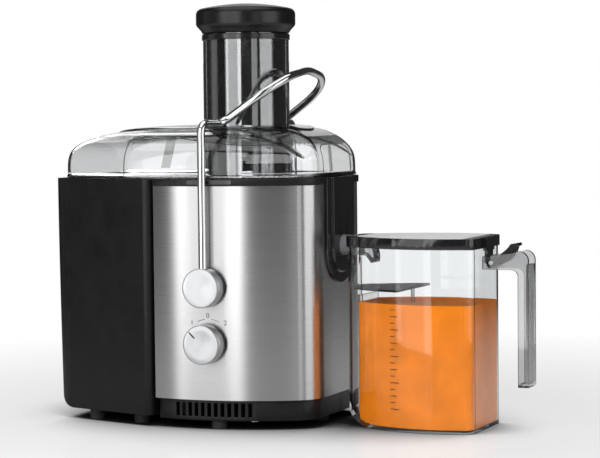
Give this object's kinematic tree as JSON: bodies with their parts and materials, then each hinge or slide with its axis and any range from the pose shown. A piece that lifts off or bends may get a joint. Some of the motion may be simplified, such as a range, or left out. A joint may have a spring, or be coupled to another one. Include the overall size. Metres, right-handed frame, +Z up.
{
  "type": "centrifugal juicer",
  "caption": "Centrifugal juicer with a steel-wrapped motor base, clear domed lid with feed chute and pusher, locking bail, pulp container and a lidded juice jug.",
  "frame": {"origin": "middle of the whole object's box, on the surface that it stands on", "axes": "+X towards the juice jug, -Y towards the knobs at the front, +Z up"},
  "size_m": [0.4531, 0.22, 0.393],
  "materials": {
    "steel_skin": "brushed",
    "black_plastic": "fine matte texture",
    "gloss_black": "gloss",
    "gray_plastic": "satin",
    "smoky_clear": "polished smoky",
    "clear_plastic": "polished clear",
    "chrome": "mirror",
    "satin_silver": "satin turned",
    "rubber": "matte",
    "zinc_steel": "zinc plated",
    "cast_alloy": "as cast",
    "lamination": "stacked sheet",
    "copper": "enamelled",
    "brass": "plain",
    "carbon": "dull",
    "sieve_steel": "etched",
    "circuit_board": "coated"
  },
  "bodies": {
    "machine": {"base_pan": "black_plastic", "base_feet": "rubber", "base_screws": "zinc_steel", "motor_housing": "black_plastic", "steel_wrap": "steel_skin", "top_rim": "black_plastic", "spout_panel": "gloss_black", "cord_inlet": "rubber", "lower_bracket": "cast_alloy", "upper_bracket": "cast_alloy", "bracket_bolts": "zinc_steel", "lower_bearing": "zinc_steel", "upper_bearing": "zinc_steel", "motor_stator": "lamination", "field_coils": "copper", "brush_holders": "brass", "carbon_brushes": "carbon", "motor_mounts": "rubber", "filter_bowl": "gray_plastic", "bowl_seal": "rubber", "shaft_seal": "rubber", "spout_nozzle": "smoky_clear", "feed_lid": "smoky_clear", "pivot_bushes": "gloss_black", "dial_collar": "gloss_black", "rotary_switch": "gray_plastic", "interlock_switch": "gray_plastic", "control_board": "circuit_board"},
    "rotor": {"motor_shaft": "zinc_steel", "rotor_core": "lamination", "commutator": "copper", "cooling_fan": "black_plastic", "drive_coupling": "black_plastic", "basket_base": "gray_plastic", "strainer_mesh": "sieve_steel", "basket_rim": "gray_plastic", "grater_disc": "sieve_steel", "basket_nut": "gray_plastic"},
    "bail": {"locking_bail": "chrome", "front_bail_knob": "satin_silver", "rear_bail_knob": "satin_silver", "bail_pins": "zinc_steel"},
    "speed_control": {"speed_knob": "satin_silver", "switch_spindle": "gray_plastic"},
    "pusher": {"pusher_tube": "gloss_black", "pusher_cap": "black_plastic"},
    "pulp_bin": {"pulp_container": "black_plastic", "pulp_feet": "rubber"},
    "jug": {"jug_shell": "clear_plastic", "jug_handle": "clear_plastic", "foam_separator": "clear_plastic", "lid_pin": "zinc_steel"},
    "jug_cover": {"jug_lid": "gloss_black", "thumb_lever": "gloss_black"}
  },
  "joints": [
    {"name": "rotor_spin", "type": "hinge", "parent": "machine", "child": "rotor", "pos_m": [-0.05435, 0, 0.1], "axis": [0, 0, 1], "continuous": true},
    {"name": "bail_swing", "type": "hinge", "parent": "machine", "child": "bail", "pos_m": [-0.05235, 0, 0.131], "axis": [0, 1, 0], "range_deg": [0, 50]},
    {"name": "speed_turn", "type": "hinge", "parent": "machine", "child": "speed_control", "pos_m": [-0.05235, -0.1, 0.0795], "axis": [0, 1, 0], "range_deg": [0, 90]},
    {"name": "pusher_lift", "type": "slide", "parent": "machine", "child": "pusher", "axis": [0, 0, 1], "range_m": [0, 0.12]},
    {"name": "pulp_slide", "type": "slide", "parent": "machine", "child": "pulp_bin", "axis": [-1, 0, 0], "range_m": [0, 0.08]},
    {"name": "jug_slide", "type": "slide", "parent": "machine", "child": "jug", "axis": [1, 0, 0], "range_m": [0, 0.08]},
    {"name": "jug_lid_hinge", "type": "hinge", "parent": "jug", "child": "jug_cover", "pos_m": [0.19165, 0, 0.152], "axis": [0, 1, 0], "range_deg": [0, 60]}
  ]
}
